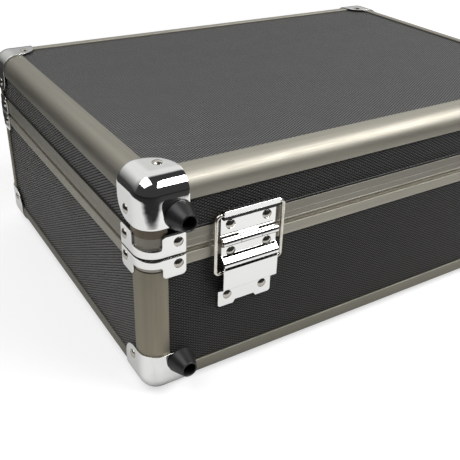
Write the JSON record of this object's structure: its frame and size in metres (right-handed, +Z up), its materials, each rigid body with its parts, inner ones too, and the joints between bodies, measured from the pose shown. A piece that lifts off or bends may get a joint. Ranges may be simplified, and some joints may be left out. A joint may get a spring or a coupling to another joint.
{
  "type": "hard case",
  "caption": "Hard carrying case with a hinged lid, aluminium edge profiles, pressed corner caps, wire lid stays, hasp latches and a swinging handle.",
  "frame": {"origin": "centre of the case's bounding box on the surface that its base corner caps stand on", "axes": "+X along the length, +Y towards the hinge side with the rubber feet, +Z up through the lid"},
  "size_m": [0.5064, 0.3974, 0.1953],
  "materials": {
    "anodised": "satin anodised",
    "chrome": "polished",
    "steel": "nickel plated",
    "panel": "embossed with a small diamond pattern",
    "rubber": "matte",
    "foam": "open cell foam",
    "grip": "soft grained"
  },
  "bodies": {
    "base": {"base_edge_front": "anodised", "base_edge_back": "anodised", "base_edge_left": "anodised", "base_edge_right": "anodised", "base_post_front_left": "anodised", "base_corner_front_left": "chrome", "base_rim_bracket_front_left": "chrome", "base_post_front_right": "anodised", "base_corner_front_right": "chrome", "base_rim_bracket_front_right": "chrome", "base_post_back_left": "anodised", "base_corner_back_left": "chrome", "base_rim_bracket_back_left": "chrome", "base_post_back_right": "anodised", "base_corner_back_right": "chrome", "base_rim_bracket_back_right": "chrome", "base_bottom_panel": "panel", "base_side_panels": "panel", "base_rim": "anodised", "base_foam": "foam", "foot_base_left": "rubber", "hinge_base_leaf_left": "chrome", "hinge_pin_left": "steel", "latch_lock_body_left": "chrome", "handle_bracket_left": "chrome", "foot_base_right": "rubber", "hinge_base_leaf_right": "chrome", "hinge_pin_right": "steel", "latch_lock_body_right": "chrome", "handle_bracket_right": "chrome"},
    "lid": {"lid_edge_front": "anodised", "lid_edge_back": "anodised", "lid_edge_left": "anodised", "lid_edge_right": "anodised", "lid_corner_front_left": "chrome", "lid_rim_bracket_front_left": "chrome", "lid_corner_front_right": "chrome", "lid_rim_bracket_front_right": "chrome", "lid_corner_back_left": "chrome", "lid_rim_bracket_back_left": "chrome", "lid_corner_back_right": "chrome", "lid_rim_bracket_back_right": "chrome", "lid_top_panel": "panel", "lid_side_panels": "panel", "lid_rim": "anodised", "lid_foam": "foam", "foot_lid_left": "rubber", "hinge_lid_leaf_left": "chrome", "latch_lid_plate_left": "chrome", "foot_lid_right": "rubber", "hinge_lid_leaf_right": "chrome", "latch_lid_plate_right": "chrome"},
    "stay_left": {"stay_wire_left": "steel"},
    "stay_right": {"stay_wire_right": "steel"},
    "hasp_left": {"latch_hasp_left": "chrome"},
    "hasp_right": {"latch_hasp_right": "chrome"},
    "release_left": {"latch_release_slide_left": "steel"},
    "release_right": {"latch_release_slide_right": "steel"},
    "handle": {"handle_grip": "grip"}
  },
  "joints": [
    {"name": "lid_hinge", "type": "hinge", "parent": "base", "child": "lid", "pos_m": [0, 0.18615, 0.1303], "axis": [-1, 0, 0], "range_deg": [0, 90]},
    {"name": "stay_left_turn", "type": "hinge", "parent": "lid", "child": "stay_left", "pos_m": [-0.1615, 0.18575, 0.1543], "axis": [-1, 0, 0], "range_deg": [-61.6, 0]},
    {"name": "stay_right_turn", "type": "hinge", "parent": "lid", "child": "stay_right", "pos_m": [0.1615, 0.18575, 0.1543], "axis": [-1, 0, 0], "range_deg": [-61.6, 0]},
    {"name": "hasp_left_swing", "type": "hinge", "parent": "lid", "child": "hasp_left", "pos_m": [-0.1615, -0.18015, 0.1483], "axis": [-1, 0, 0], "range_deg": [0, 110]},
    {"name": "hasp_right_swing", "type": "hinge", "parent": "lid", "child": "hasp_right", "pos_m": [0.1615, -0.18015, 0.1483], "axis": [-1, 0, 0], "range_deg": [0, 110]},
    {"name": "release_left_slide", "type": "slide", "parent": "base", "child": "release_left", "axis": [-1, 0, 0], "range_m": [0, 0.004], "stiffness_N_per_m": 250, "springref_m": -0.002},
    {"name": "release_right_slide", "type": "slide", "parent": "base", "child": "release_right", "axis": [1, 0, 0], "range_m": [0, 0.004], "stiffness_N_per_m": 250, "springref_m": -0.002},
    {"name": "handle_swing", "type": "hinge", "parent": "base", "child": "handle", "pos_m": [0, -0.18915, 0.0893], "axis": [-1, 0, 0], "range_deg": [0, 120]}
  ],
  "couplings": [
    {"joint": "stay_left_turn", "follows": "lid_hinge", "ratio": -0.68241},
    {"joint": "stay_right_turn", "follows": "lid_hinge", "ratio": -0.68241}
  ]
}
